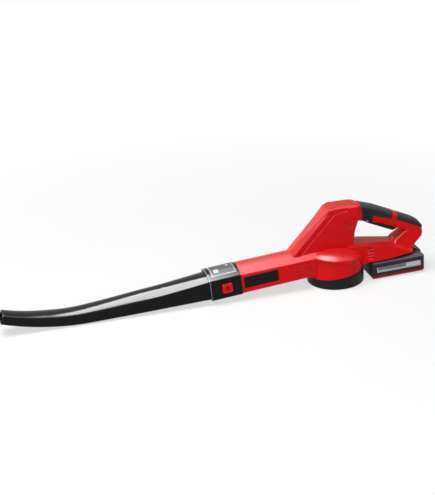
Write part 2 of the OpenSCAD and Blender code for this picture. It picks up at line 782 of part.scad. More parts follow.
// A slanted channel down each side of the column, stepped at its rear edge.
channel_z = [62, 151];
channel_w = 16;
channel_depth = 1.5;
channel_step = 2;
module column_channels() {
    both_sides() loft([for (z = channel_z)
        let (x = column_x1(z), y = column_w / 2, w = channel_w)
        lay([[x + w, y - channel_depth], [x + w + channel_step + 1, y + 1], [x + 0.3, y + 1]], z)]);
}
// A recess round the head of the column, stepped at its lower and rear edges.
head_z = 151;
head_step = 1.1;
head_reach = 26;
module column_head() {
    x = column_x1(head_z) + channel_w;
    both_sides() hull() for (i = [0, 1])
        translate([0, column_w / 2 - head_step + i * (head_step + 4), 0]) rotate([90, 0, 0])
            linear_extrude(0.1) offset(delta = i * 2) polygon([[x - head_reach, head_z - 6], [x, head_z],
                [x + head_reach, head_z + 2.5], [x + head_reach + 3, column_top + 5],
                [x - head_reach, column_top + 5]]);
}
plate_size = [72, 24];
plate_x = 5;
plate_up = 2.5;
plate_proud = 0.3;
plate_depth = 0.6;
module side_plate(over) {
    on_duct() translate([plate_x, -duct_w / 2 - plate_proud - over, plate_up - plate_size[1] / 2])
        cube([plate_size[0], plate_depth + plate_proud + over, plate_size[1]]);
}
module left_plate() {
    color(black) side_plate(0);
}
module right_plate() {
    color(black) mirror([0, 1, 0]) side_plate(0);
}

pocket_y = 24.5;
button_x = 20;
pocket_h = button_h + 9;
module button_pocket(d) {
    on_duct() translate([-big - button_x + 4 + d, -big - pocket_y + d, -pocket_h / 2 - d])
        cube([big, big, pocket_h + 2 * d]);
}
// The foot's hollow: from x, from z, length and height.
foot_box = [24, 54, 96, 12];
foot_box_w = 40;
terminal_x = [4, 12 - seat];
terminal_w = 36;
terminal_h = [1, 8.6];
module terminal_pocket(d) {
    on_battery() translate([terminal_x[0] - d, -terminal_w / 2 - d, batt_h + terminal_h[0] - d])
        cube([terminal_x[1] - terminal_x[0] + 2 * d, terminal_w + 2 * d,
            terminal_h[1] - terminal_h[0] + 2 * d]);
}
saddle_x = [-26, 20];
saddle_t = 3;
module saddles() {
    for (z = [motor_z + 14, motor_z + motor_l - 10]) difference() {
        translate([saddle_x[0], -column_w / 2 + 1, z])
            cube([saddle_x[1] - saddle_x[0], column_w - 2, saddle_t]);
        translate([0, 0, z - 1]) cylinder(r = motor_r + fit, h = saddle_t + 2);
    }
}
// The seal's groove round the spigot: from, to, and the depth left under the seal.
seal_x = [-9, -6];
seal_depth = 0.9;
module shell() {
    difference() {
        union() {
            difference() {
                body_outside();
                cylinder(r = chamber_r, h = ridge_z - 3 + eps, $fn = 96);
                dome(wall);
                column_inside();
                grip_loft(wall + rubber_t, 0, 6);
                difference() {
                    duct_inside();
                    button_pocket(wall);
                }
                translate([foot_box[0], -foot_box_w / 2, foot_box[1]])
                    cube([foot_box[2], foot_box_w, foot_box[3]]);
            }
            screw_bosses();
            trigger_cheeks();
            saddles();
        }
        ring_cut();
        button_pocket(0);
        channel();
        terminal_pocket(seat);
        screw_bores();
        trigger_slot();
        vents();
        column_channels();
        column_head();
        side_plate(2);
        mirror([0, 1, 0]) side_plate(2);
        grip_skin(0, 2);
        grip_skin(1, 2);
        on_duct() difference() {
            spigot_loft(-2, seal_x[0], seal_x[1]);
            spigot_loft(seal_depth, seal_x[0] - 1, seal_x[1] + 1);
        }
    }
}
module left_shell() {
    color(red) intersection() {
        shell();
        translate([-big, -big - seam / 2, -big]) cube([2 * big, big, 2 * big]);
    }
}
module right_shell() {
    color(red) intersection() {
        shell();
        translate([-big, seam / 2, -big]) cube([2 * big, big, 2 * big]);
    }
}
module spigot_seal() {
    color(rubber) on_duct() difference() {
        spigot_loft(-0.1, seal_x[0] + seat, seal_x[1] - seat);
        spigot_loft(seal_depth, seal_x[0] - 1, seal_x[1] + 1);
    }
}

// ---- Tube parts ----

module blower_tube() {
    color(black) on_duct() difference() {
        tube_solid(0, 0);
        tube_solid(tube_wall, 1);
    }
}
collar_w = spigot_w + 2 * (slide_gap + collar_wall);
collar_y = collar_w / 2;
collar_in = spigot_w / 2 + slide_gap;
module collar_window(d) {
    translate([-button_x - button_l - d, -collar_y - 5, -button_h / 2 - d])
        cube([button_l + 2 * d, 5 + collar_y - collar_in + eps, button_h + 2 * d]);
}
cage_y = pocket_y + 0.4;
cage_t = 1.4;
flange_t = 1.4;
module tube_collar() {
    x1 = -slide_gap;
    color(black) on_duct() difference() {
        union() {
            difference() {
                loft([
                    stand(arch_section(collar_w - 1, spigot_side + 3, spigot_arch, 2), -collar_l, 0),
                    stand(arch_section(collar_w, spigot_side + 4.4, spigot_arch, 2), 2 - collar_l, 0),
                    stand(arch_section(collar_w, spigot_side + 4.4, spigot_arch, 2), x1 - 1, 0),
                    stand(arch_section(collar_w - 1, spigot_side + 3.6, spigot_arch, 2), x1, 0)]);
                spigot_loft(-slide_gap, -spigot_l - 1, 1);
                loft([for (x = [-tube_start - 2, -spigot_l])
                    stand(arch_section(tube_root_w - 5, tube_root_side - 4, tube_root_arch - 2), x, 0)]);
                tube_solid(-seat, 0);
            }
            for (m = [-1, 1]) translate([-button_x - button_l, -collar_y + 1, m * (pocket_h / 2 - 1.5)])
                translate([0, 0, -1]) cube([button_l, collar_y - 1 - cage_y, 2]);
            translate([-button_x - button_l, -cage_y - cage_t, -pocket_h / 2 + 0.5])
                cube([button_l, cage_t, pocket_h - 1]);
        }
        collar_window(0.3);
    }
}
module collar_label() {
    color("silver") on_duct() intersection() {
        difference() {
            loft([for (x = [2 - collar_l, -1.4])
                stand(arch_section(collar_w, spigot_side + 5, spigot_arch, 2), x, 0)]);
            loft([for (x = [1 - collar_l, 0])
                stand(arch_section(collar_w, spigot_side + 4.4, spigot_arch, 2), x, 0)]);
        }
        translate([-collar_l + 8, -24, 0]) cube([collar_l - 14, 48, 60]);
    }
}
flange = 2;
flange_y = collar_in - 0.3;
module tube_button() {
    color(red) on_duct() {
        translate([-button_x - button_l, -collar_y - button_proud, -button_h / 2])
            cube([button_l, collar_y + button_proud - flange_y + flange_t, button_h]);
        translate([-button_x - button_l + 1, -flange_y, -button_h / 2 - flange])
            cube([button_l - 2, flange_t, button_h + 2 * flange]);
    }
}
module button_spring() {
    l = flange_y - flange_t - cage_y - cage_t;
    color(steel) on_duct() translate([-button_x - button_l / 2, -cage_y - cage_t - 0.1, 0])
        rotate([90, 0, 0]) coil(5, 0.35, l - 0.2, 3, nested);
}

// ---- Battery ----

case_split = 20;
case_wall = 2.4;
batt_outline = [[4, 0], [batt_l - 7, 0], [batt_l - 1.5, 4], [batt_l, 9], [batt_l, batt_h - 9],
    [batt_l - 2, batt_h - 4], [batt_l - 8, batt_h], [5, batt_h], [0, batt_h - 6], [0, 7]];
tower_x = 14.5;
tower_l = rail_l - 12;
module pack_outside() {
    intersection() {
        plate_across(batt_outline, batt_w);
        translate([batt_l / 2, 0, -1]) linear_extrude(batt_h + 2)
            polygon(round_box(batt_l / 2, batt_w / 2, 8, 5));
        rotate([90, 0, 90]) linear_extrude(batt_l) polygon([
            [-batt_w / 2 + 3, 0], [batt_w / 2 - 3, 0], [batt_w / 2, 4], [batt_w / 2, batt_h - 6],
            [batt_w / 2 - 6, batt_h], [-batt_w / 2 + 6, batt_h], [-batt_w / 2, batt_h - 6],
            [-batt_w / 2, 4]]);
    }
}
strip_h = 7.5;
module pack_inside() {
    translate([case_wall + 1, -batt_w / 2 + case_wall + 1, strip_h + 1.5])
        cube([batt_l - 2 * case_wall - 2, batt_w - 2 * case_wall - 2,
            batt_h - strip_h - 1.5 - case_wall - 2]);
}
base_top = strip_h + seat;
pack_screw_x = 7.7;
pack_boss_r = 4.1;
pack_screws = [for (x = [pack_screw_x, batt_l - pack_screw_x], y = [-30, 30]) [x, y]];
module pack_screw_places() {
    for (s = pack_screws) translate([s[0], s[1], 0]) children();
}
module battery_base() {
    color([0.35, 0.02, 0.03]) on_battery() difference() {
        intersection() {
            pack_outside();
            translate([-1, -batt_w, -1]) cube([batt_l + 2, 2 * batt_w, strip_h + 1]);
        }
        pack_screw_places() translate([0, 0, -1]) cylinder(r = screw_head_r + 0.3, h = 10);
    }
}
module battery_lower_case() {
    color([0.1, 0.1, 0.11]) on_battery() difference() {
        union() {
            intersection() {
                difference() {
                    pack_outside();
                    pack_inside();
                }
                translate([-1, -batt_w, base_top])
                    cube([batt_l + 2, 2 * batt_w, case_split - base_top]);
            }
            pack_screw_places() translate([0, 0, base_top])
                cylinder(r = pack_boss_r, h = case_split - base_top);
        }
        pack_screw_places() cylinder(r = screw_r + 0.3, h = case_split + 1);
        label_cut();
    }
}
terminal_slots = [-15, -5, 5, 15];
slot_w = 4;
slot_l = 24;
blade_z0 = batt_h + 2.2;
blade_h2 = rail_h - flange_h - 0.8;
latch_pit = 6;
latch_x = batt_l - 17;
latch_outline = [[0, -2], [0, 4], [3, 5], [5.5, 4.2], [14, -1.6], [14, -2]];
module battery_upper_case() {
    color([0.1, 0.1, 0.11]) on_battery() difference() {
        union() {
            intersection() {
                difference() {
                    pack_outside();
                    pack_inside();
                }
                translate([-1, -batt_w, case_split]) cube([batt_l + 2, 2 * batt_w, batt_h]);
            }
            intersection() {
                pack_screw_places() translate([0, 0, case_split]) cylinder(r = pack_boss_r, h = batt_h);
                pack_outside();
            }
            translate([tower_x, -neck_w / 2, batt_h - 2]) cube([tower_l, neck_w, rail_h + 2]);
            translate([tower_x, -rail_w / 2, batt_h + rail_h - flange_h])
                cube([tower_l, rail_w, flange_h]);
            translate([latch_x - 3, -latch_w / 2 - 3, batt_h - latch_pit - 4.4])
                cube([18.5, latch_w + 6, latch_pit + 4]);
        }
        pack_screw_places() cylinder(r = screw_r + fit, h = case_split + 12);
        for (y = terminal_slots) translate([tower_x - 1, y - slot_w / 2, batt_h + 1.2])
            cube([slot_l + 1, slot_w, rail_h - 3]);
        translate([latch_x - 0.4, -latch_w / 2 - 0.4, batt_h - latch_pit])
            cube([14.8, latch_w + 0.8, 20]);
        label_cut();
    }
}
label_size = [batt_l - 22, 11.5];
label_z = case_split - 6;
module label_box(over) {
    for (m = [-1, 1]) translate([batt_l / 2 - label_size[0] / 2 + 1, m * (batt_w / 2 + over / 2 - 0.2)
        - 0.2 - over / 2, label_z])
        cube([label_size[0], 0.4 + over, label_size[1]]);
}
module label_cut() {
    label_box(1);
}
module battery_label() {
    color("silver") on_battery() for (m = [-1, 1])
        translate([batt_l / 2 - label_size[0] / 2 + 1 + seat, m * (batt_w / 2 - 0.2) - 0.2,
            label_z + seat])
            cube([label_size[0] - 2 * seat, 0.4, label_size[1] - 2 * seat]);
}
cell_r = 9.1;
cell_l = 65;
cell_pitch = (batt_l - 2 * (pack_screw_x + pack_boss_r + 0.3 + cell_r)) / 4;
cell_z = strip_h + 1.5 + cell_r + 0.6;
module cells_at() {
    for (i = [0:4]) translate([batt_l / 2 + (i - 2) * cell_pitch, 0, cell_z]) children();
}
module battery_cells() {
    color("seagreen") on_battery() cells_at() rotate([90, 0, 0])
        cylinder(r = cell_r, h = cell_l, center = true);
}
module cell_holder() {
    color("dimgray") on_battery() for (m = [-1, 1]) difference() {
        translate([batt_l / 2 - 2.5 * cell_pitch, m * 17 - 4, strip_h + 1.6])
            cube([5 * cell_pitch, 8, 2 * cell_r + 1.4]);
        cells_at() rotate([90, 0, 0]) cylinder(r = cell_r + 0.02, h = 90, center = true);
    }
}
board_z = strip_h + 1.6 + 2 * cell_r + 1.4;
module battery_board() {
    color("darkgreen") on_battery() translate([18, -24, board_z]) cube([latch_x - 26, 48, 1.6]);
}
module battery_terminals() {
    color(brass) on_battery() for (y = terminal_slots, m = [-1, 1])
        translate([tower_x + 4, y + m * (slot_w / 2 - 0.35) - 0.35, batt_h + 1.2])
            cube([slot_l - 4, 0.7, rail_h - 3.4]);
}
module battery_screws() {
    color(steel) on_battery() pack_screw_places() {
        translate([0, 0, strip_h - 2.4]) cylinder(r = screw_head_r, h = 2.4);
        translate([0, 0, strip_h - 1]) cylinder(r = screw_r, h = case_split + 5);
    }
}
module battery_latch() {
    color([0.4, 0.02, 0.03]) on_battery() translate([latch_x, 0, batt_h])
        plate_across(latch_outline, latch_w / 2);
}
module latch_spring() {
    color(steel) on_battery() translate([latch_x + 7, 0, batt_h - latch_pit + 0.1])
        coil(4.5, 0.35, latch_pit - 2.2, 3, nested);
}

// ---- Electrical parts in the housing ----

module terminal_block() {
    color("black") difference() {
        terminal_pocket(0);
        on_battery() for (y = terminal_slots)
            translate([terminal_x[0] + 2, y - 0.45, blade_z0 - 0.05])
                cube([20, 0.9, blade_h2 + 0.1]);
    }
}
module terminal_blades() {
    color(brass) on_battery() for (y = terminal_slots)
        translate([terminal_x[0] + 2.1, y - 0.4, blade_z0]) cube([28, 0.8, blade_h2]);
}
module controller_board() {
    color("darkgreen") translate([foot_box[0] + 42, -17, foot_box[1] + 0.2]) cube([48, 34, 1.6]);
}
// A round wire of radius r along a route of [x, z, slope] points, at y.
module wire(route, r, y) {
    loft([for (p = route) stand([for (i = [0:7])
        [y + r * cos(45 * i), r * sin(45 * i)]], p[0], p[1], p[2])]);
}
// A point on the switch's front face at height h in the trigger's frame.
function switch_face(h) = let (l = switch_x - switch_l / 2 - solder_gap)
    [pin_x + l * cos(trigger_slope) + h * sin(trigger_slope),
     pin_z - l * sin(trigger_slope) + h * cos(trigger_slope), -trigger_slope];
battery_route = [[74, 57.1, 180], [50, 59, 176], [36, 60.5, 160], [26.5, 68, 105],
    [25.5, 90, 90], [26, 122, 85], [34, 137, 40], [50, 140, -10], [66, 137.2, -22],
    switch_face(16.6)];
motor_route = [[8, cap_z + solder_gap, 90], [8, 124, 90], [14, 137, 55], [30, 147, 20], [48, 147, -14],
    [66, 142.5, -22], switch_face(22)];
module battery_leads() {
    color(red) wire(battery_route, 1.1, -3);
    color(black) wire(battery_route, 1.1, 3);
}
module motor_leads() {
    color("navy") wire(motor_route, 1, -4);
    color("ivory") wire(motor_route, 1, 4);
}

left_shell();
right_shell();
front_grip();
rear_grip();
left_plate();
right_plate();
intake_ring();
intake_grille();
motor_plate();
motor_can();
motor_magnets();
motor_end_cap();
motor_brushes();
motor_bushings();
motor_screws();
armature();
commutator();
motor_shaft();
impeller();
fan_nut();
switch_body();
switch_plunger();
trigger();
trigger_pin();
trigger_spring();
terminal_block();
terminal_blades();
controller_board();
battery_leads();
motor_leads();
housing_screws();
spigot_seal();
blower_tube();
tube_collar();
collar_label();
tube_button();
button_spring();
battery_base();
battery_lower_case();
battery_upper_case();
battery_cells();
cell_holder();
battery_board();
battery_terminals();
battery_screws();
battery_label();
battery_latch();
latch_spring();
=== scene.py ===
"""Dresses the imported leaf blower: finishes, refined pieces, floor, lights and camera."""

import math

import bmesh
import bpy
from bpy.props import FloatProperty, FloatVectorProperty, PointerProperty
from mathutils import Matrix, Vector, geometry


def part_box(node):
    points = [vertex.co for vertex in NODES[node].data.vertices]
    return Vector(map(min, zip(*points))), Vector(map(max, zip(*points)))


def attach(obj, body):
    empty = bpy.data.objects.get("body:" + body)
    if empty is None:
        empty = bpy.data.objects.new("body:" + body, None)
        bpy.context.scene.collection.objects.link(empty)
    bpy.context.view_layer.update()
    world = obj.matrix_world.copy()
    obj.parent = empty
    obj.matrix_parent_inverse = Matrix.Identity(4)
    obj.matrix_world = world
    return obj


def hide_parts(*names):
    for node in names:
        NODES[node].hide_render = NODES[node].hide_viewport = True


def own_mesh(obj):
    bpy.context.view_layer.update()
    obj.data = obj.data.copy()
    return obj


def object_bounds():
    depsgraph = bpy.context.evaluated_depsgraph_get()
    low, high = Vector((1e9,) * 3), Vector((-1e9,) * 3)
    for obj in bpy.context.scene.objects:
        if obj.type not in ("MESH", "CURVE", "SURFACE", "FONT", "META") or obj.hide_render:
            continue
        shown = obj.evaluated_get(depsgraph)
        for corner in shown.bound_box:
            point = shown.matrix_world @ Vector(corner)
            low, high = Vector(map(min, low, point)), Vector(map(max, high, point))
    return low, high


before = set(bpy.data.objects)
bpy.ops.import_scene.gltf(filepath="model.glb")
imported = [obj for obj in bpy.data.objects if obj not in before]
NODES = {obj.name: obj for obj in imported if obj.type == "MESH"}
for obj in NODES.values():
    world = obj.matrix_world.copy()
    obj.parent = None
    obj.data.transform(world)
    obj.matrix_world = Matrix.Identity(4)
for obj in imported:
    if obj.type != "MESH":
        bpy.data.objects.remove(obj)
CAD_BOX = [list(corner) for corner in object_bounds()]
MM = 0.001

bl_info = {
    "name": "Leaf blower dresser",
    "version": (1, 0, 0),
    "blender": (4, 2, 0),
    "location": "3D View > Sidebar > Leaf blower",
    "description": "Builds the finishes and refined pieces of a cordless leaf blower",
    "category": "Object",
}


# ---- Sizes and colours that a user may change ----


def length(name, description, default):
    """A length in metres."""
    return FloatProperty(
        name=name, description=description, default=default, min=0.0, subtype="DISTANCE"
    )


def turn(name, description, degrees):
    """An angle, given in degrees and kept in radians."""
    return FloatProperty(
        name=name, description=description, default=math.radians(degrees), subtype="ANGLE"
    )


def colour(name, description, default):
    """A linear colour."""
    return FloatVectorProperty(
        name=name, description=description, default=default, size=3, min=0.0, max=1.0,
        subtype="COLOR",
    )


class BlowerSizes(bpy.types.PropertyGroup):
    """Sizes of the refined pieces, which match the solids that they stand for or lie on"""

    duct_front: length("Duct front", "Distance from the fan's axis to the duct's front edge", 0.209)
    duct_front_z: length("Duct height", "Height of the duct's middle at its front edge", 0.0354)
    duct_width: length("Duct width", "Outer width of the duct", 0.067)
    pitch: turn("Pitch", "Slope of the tube, collar and duct below the horizontal", 4.5)
    collar_length: length("Collar length", "Length of the release collar", 0.065)

    tube_tail: length("Tube tail", "How far the tube reaches into the collar", 0.014)
    tube_straight: length("Tube run", "Length of the tube's straight run", 0.245)
    tube_bend_radius: length("Tube bend radius", "Radius of the bend at the tube's tip", 0.440)
    tube_bend: turn("Tube bend", "Angle that the tube's tip turns through", 22.6)
    tube_sag: length("Tube sag", "Sag of the tube below a straight line", 0.0022)
    tube_wall: length("Tube wall", "Wall thickness of the tube", 0.002)
    tube_root_width: length("Tube width at the collar", "Outer width of the tube's root", 0.061)
    tube_tip_width: length("Tube width at the mouth", "Outer width of the tube's tip", 0.037)
    tube_root_flank: length("Flank at the collar", "Height of the flanks at the root", 0.0385)
    tube_tip_flank: length("Flank at the mouth", "Height of the flanks at the tip", 0.0106)
    crown_root: length("Crown at the collar", "Rise of the crown above the flanks", 0.008)
    crown_peak: length("Crown at its highest", "Rise of the crown where it is highest", 0.0125)
    crown_tip: length("Crown at the mouth", "Rise of the crown at the tip", 0.010)

    edge: length("Edge rounding", "Radius of the moulded edges", 0.0007)
    fine_edge: length("Fine rounding", "Radius of the small pieces' edges", 0.0002)
    plunger_slope: turn("Plunger slope", "Slope of the switch plunger from upright", 24.5)
    spring_wire: length("Spring wire", "Radius of the springs' wire", 0.00035)
    spring_cone: length("Spring cone", "How much the short springs narrow", 0.0026)

    button_corner: length("Button corner", "Corner radius of the release button", 0.0035)
    button_fillet: length("Button fillet", "Edge radius of the button's face", 0.0012)
    button_dish: length("Button dish", "Radius of the dimple in the button", 0.0052)
    bead_wire: length("Bead wire", "Radius of the bead on the collar's front edge", 0.0008)

    rim_place: length("Rim place", "Distance from the duct's front edge to the rim", 0.041)
    rim_rise: length("Rim rise", "Height of the rim's middle above the duct's axis", 0.0025)
    rim_length: length("Rim length", "Length of the rim around a side plate", 0.0785)
    rim_height: length("Rim height", "Height of the rim around a side plate", 0.0305)
    rim_corner: length("Rim corner", "Corner radius of the rim", 0.005)
    rim_wire: length("Rim wire", "Radius of the rim's section", 0.0005)


class BlowerColours(bpy.types.PropertyGroup):
    """Colours of the blower's mouldings and of the floor"""

    shell: colour("Shell", "Colour of the housing", (0.60, 0.003, 0.005))
    signal: colour("Signal", "Colour of the release button", (0.68, 0.004, 0.004))
    # This darker red also paints shade into the release button's dimple.
    base: colour("Base", "Colour of the battery's base and latch", (0.22, 0.004, 0.006))
    rubber: colour("Rubber", "Colour of the soft grip", (0.010, 0.010, 0.014))
    black: colour("Black", "Colour of the black mouldings", (0.005, 0.005, 0.006))
    plate: colour("Plate", "Colour of the bare side plates", (0.004, 0.004, 0.0045))
    battery: colour("Battery", "Colour of the battery case", (0.016, 0.0145, 0.021))
    bead: colour("Bead", "Colour of the collar's bead", (0.16, 0.16, 0.165))
    label: colour("Label", "Colour of the bare labels", (0.42, 0.43, 0.45))
    floor: colour("Floor", "Colour of the floor", (0.8, 0.8, 0.8))


def sizes():
    return bpy.context.scene.blower_sizes


def colours():
    return bpy.context.scene.blower_colours


# ---- Nodes of a material ----


def new_material(name):
    """An empty finish: the material, its node tree and its shader."""
    material = bpy.data.materials.new(name)
    material.use_nodes = True
    nodes = material.node_tree.nodes
    nodes.clear()
    out = nodes.new("ShaderNodeOutputMaterial")
    shader = nodes.new("ShaderNodeBsdfPrincipled")
    material.node_tree.links.new(shader.outputs[0], out.inputs[0])
    return material, material.node_tree, shader


def noise(tree, scale, detail, stretch=None):
    """A noise over the object's own coordinates, drawn out along an axis by a stretch under 1."""
    nodes, links = tree.nodes, tree.links
    place = nodes.new("ShaderNodeTexCoord")
    texture = nodes.new("ShaderNodeTexNoise")
    texture.inputs["Scale"].default_value = scale
    texture.inputs["Detail"].default_value = detail
    source = place.outputs["Object"]
    if stretch:
        mapping = nodes.new("ShaderNodeMapping")
        mapping.inputs["Scale"].default_value = stretch
        links.new(source, mapping.inputs["Vector"])
        source = mapping.outputs[0]
    links.new(source, texture.inputs["Vector"])
    return texture.outputs["Fac"]


def spread(tree, source, low, high, start=0.3, end=0.7):
    """Maps the range from start to end, a texture's middle unless given, onto low to high."""
    node = tree.nodes.new("ShaderNodeMapRange")
    node.inputs["From Min"].default_value = start
    node.inputs["From Max"].default_value = end
    node.inputs["To Min"].default_value = low
    node.inputs["To Max"].default_value = high
    tree.links.new(source, node.inputs["Value"])
    return node.outputs[0]


def two_tone(tree, factor, first, second):
    """Runs from the first tone to the second as the factor goes from 0 to 1."""
    node = tree.nodes.new("ShaderNodeMix")
    node.data_type = "RGBA"
    node.inputs[6].default_value = (*first, 1)
    node.inputs[7].default_value = (*second, 1)
    tree.links.new(factor, node.inputs[0])
    return node.outputs[2]


def math_node(tree, operation, first, second):
    """Joins two values, each a number or a socket."""
    node = tree.nodes.new("ShaderNodeMath")
    node.operation = operation
    for socket, value in zip(node.inputs, (first, second)):
        if isinstance(value, (int, float)):
            socket.default_value = value
        else:
            tree.links.new(value, socket)
    return node.outputs[0]


def bump(tree, shader, source, strength, distance):
    """Raises a texture on a finish."""
    node = tree.nodes.new("ShaderNodeBump")
    node.inputs["Strength"].default_value = strength
    node.inputs["Distance"].default_value = distance
    tree.links.new(source, node.inputs["Height"])
    tree.links.new(node.outputs[0], shader.inputs["Normal"])


# ---- Finishes ----

# Scales of the slow drifts in tone and gloss, how far each goes, and the depth of the grain.
TONE_DRIFT = 38.0
GLOSS_DRIFT = 90.0
DARKEST = 0.86
SHINIEST, DULLEST = 0.88, 1.14
GRAIN_DEPTH = 0.0002


def moulded(name, tone, rough=0.35, grain=0.12, grain_scale=1400.0, specular=0.5, coat=0.0,
            metal=0.0, stretch=None):
    """A moulded or cast finish: fine grain, drifting colour and drifting gloss."""
    material, tree, shader = new_material(name)
    drift = noise(tree, TONE_DRIFT, 4.0)
    darker = tuple(c * DARKEST for c in tone)
    tone_mix = two_tone(tree, spread(tree, drift, 0, 1), darker, tone)
    tree.links.new(tone_mix, shader.inputs["Base Color"])
    gloss = spread(tree, noise(tree, GLOSS_DRIFT, 5.0), rough * SHINIEST, rough * DULLEST)
    tree.links.new(gloss, shader.inputs["Roughness"])
    shader.inputs["Specular IOR Level"].default_value = specular
    shader.inputs["Metallic"].default_value = metal
    shader.inputs["Coat Weight"].default_value = coat
    shader.inputs["Coat Roughness"].default_value = 0.12
    bump(tree, shader, noise(tree, grain_scale, 2.0, stretch), grain, GRAIN_DEPTH)
    return material


def brushed(name, tone, rough, stretch=None):
    """A bare metal with fine brush marks."""
    return moulded(name, tone, rough, 0.05, 2500.0, metal=1.0, stretch=stretch)


def windings(name, shadow, light):
    """Copper wire wound in fine turns."""
    material, tree, shader = new_material(name)
    place = tree.nodes.new("ShaderNodeTexCoord")
    wave = tree.nodes.new("ShaderNodeTexWave")
    wave.bands_direction = "Z"
    wave.inputs["Scale"].default_value = 420.0
    tree.links.new(place.outputs["Object"], wave.inputs["Vector"])
    turns = wave.outputs["Fac"]
    tree.links.new(two_tone(tree, turns, shadow, light), shader.inputs["Base Color"])
    shader.inputs["Metallic"].default_value = 0.9
    shader.inputs["Roughness"].default_value = 0.32
    bump(tree, shader, turns, 0.8, 0.0004)
    return material


# Patches printed on a label: low and high corners in shares of its box, then a tone.
COLLAR_LABEL = (
    ((0.05, 0.05), (0.95, 0.95), (0.07, 0.07, 0.075)),
    ((0.14, 0.18), (0.34, 0.42), (0.62, 0.62, 0.63)),
    ((0.70, 0.55), (0.80, 0.70), (0.62, 0.62, 0.63)),
)
BATTERY_LABEL = (
    ((0.02, 0.36), (0.66, 0.93), (0.14, 0.14, 0.16)),
    ((0.68, 0.36), (0.98, 0.93), (0.50, 0.42, 0.46)),
)


def over(tree, shader, mask, tone):
    """Lays another tone over a finish where the mask is 1."""
    under = shader.inputs["Base Color"].links[0].from_socket
    node = tree.nodes.new("ShaderNodeMix")
    node.data_type = "RGBA"
    node.inputs[7].default_value = (*tone, 1)
    tree.links.new(mask, node.inputs[0])
    tree.links.new(under, node.inputs[6])
    tree.links.new(node.outputs[2], shader.inputs["Base Color"])


def label_foil(name, axes, patches):
    """A bare label's foil with plain patches, placed along two axes of the label's box."""
    material = moulded(name, colours().label, 0.42, 0.06, 2000.0, 0.1, stretch=(0.1, 1, 1))
    tree = material.node_tree
    shader = next(node for node in tree.nodes if node.type == "BSDF_PRINCIPLED")
    place = tree.nodes.new("ShaderNodeTexCoord")
    split = tree.nodes.new("ShaderNodeSeparateXYZ")
    tree.links.new(place.outputs["Generated"], split.inputs[0])
    for low, high, tone in patches:
        mask = 1.0
        for axis, start, end in zip(axes, low, high):
            share = split.outputs[axis]
            mask = math_node(tree, "MULTIPLY", mask, math_node(tree, "GREATER_THAN", share, start))
            mask = math_node(tree, "MULTIPLY", mask, math_node(tree, "LESS_THAN", share, end))
        over(tree, shader, mask, tone)
    return material


def make_materials():
    """All finishes, by the names that the pieces ask for them by."""
    c = colours()
    along_z = (1, 1, 0.1)
    return {
        "shell": moulded("shell_plastic", c.shell, rough=0.33, grain=0.04, specular=0.09),
        "rubber": moulded("grip_rubber", c.rubber, rough=0.6, grain=0.5, grain_scale=900.0,
                          specular=0.1),
        "gloss": moulded("gloss_black_plastic", c.black, rough=0.2, grain=0.015, specular=0.095),
        "satin": moulded("satin_black_plastic", c.black, rough=0.45, specular=0.15),
        "battery": moulded("battery_plastic", c.battery, rough=0.42, grain=0.15, specular=0.15),
        "base": moulded("base_red_and_painted_dish_shade", c.base, rough=0.4, specular=0.1),
        "plate": moulded("plate_black", c.plate, grain=0.02, specular=0.1),
        "collar_label": label_foil("collar_label_foil", (0, 1), COLLAR_LABEL),
        "battery_label": label_foil("battery_label_foil", (0, 2), BATTERY_LABEL),
        "bead": moulded("bead_grey", c.bead, rough=0.3, grain=0.03),
        "signal": moulded("signal_red_plastic", c.signal, rough=0.3, grain=0.03, specular=0.08),
        "steel": brushed("steel", (0.55, 0.56, 0.58), 0.28, along_z),
        "magnet": moulded("ferrite", (0.045, 0.045, 0.05), rough=0.6, grain=0.4, grain_scale=700.0),
        "brass": brushed("brass", (0.75, 0.52, 0.2), 0.3),
        "copper": windings("copper_windings", (0.18, 0.045, 0.012), (0.72, 0.27, 0.10)),
        "board": moulded("circuit_board", (0.01, 0.09, 0.035), rough=0.4, grain=0.3,
                         grain_scale=500.0),
        "cell": moulded("cell_sleeve", (0.03, 0.22, 0.2), grain=0.05, coat=0.3),
        "wire_red": moulded("red_wire", (0.5, 0.01, 0.01), rough=0.4, grain=0.1),
        "wire_blue": moulded("blue_wire", (0.02, 0.04, 0.3), rough=0.4, grain=0.1),
        "ivory": moulded("ivory_plastic", (0.7, 0.66, 0.52), rough=0.4, grain=0.1),
    }


MATERIALS = {}


# ---- Meshes ----


def mesh_from(name, build):
    """A mesh from what build adds to an empty one, with its faces turned outwards."""
    mesh = bpy.data.meshes.new(name)
    bm = bmesh.new()
    build(bm)
    bmesh.ops.recalc_face_normals(bm, faces=bm.faces)
    bm.to_mesh(mesh)
    bm.free()
    return mesh


def new_piece(name, build, body, material, nodes=()):
    """Builds a piece that rides on a body, and hides the solids that it stands for."""
    mesh = mesh_from(name, build)
    piece = bpy.data.objects.new(name, mesh)
    bpy.context.scene.collection.objects.link(piece)
    mesh.materials.append(MATERIALS[material])
    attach(piece, body)
    if nodes:
        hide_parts(*nodes)
    return piece


def smooth(piece):
    """Shades a piece smooth."""
    for polygon in piece.data.polygons:
        polygon.use_smooth = True


def soften(piece, width, segments=2, angle=28.0):
    """Welds a mesh, joins its flat faces, rounds its edges and shades it smooth."""
    weld = piece.modifiers.new("Weld", "WELD")
    weld.merge_threshold = 0.00001
    flat = piece.modifiers.new("Join flat faces", "DECIMATE")
    flat.decimate_type = "DISSOLVE"
    flat.angle_limit = math.radians(0.6)
    if width:
        bevel = piece.modifiers.new("Round edges", "BEVEL")
        bevel.width = width
        bevel.segments = segments
        bevel.limit_method = "ANGLE"
        bevel.angle_limit = math.radians(angle)
        bevel.use_clamp_overlap = True
        bevel.harden_normals = False
    smooth(piece)
    weighted = piece.modifiers.new("Face weighted normals", "WEIGHTED_NORMAL")
    weighted.keep_sharp = True
    weighted.weight = 60


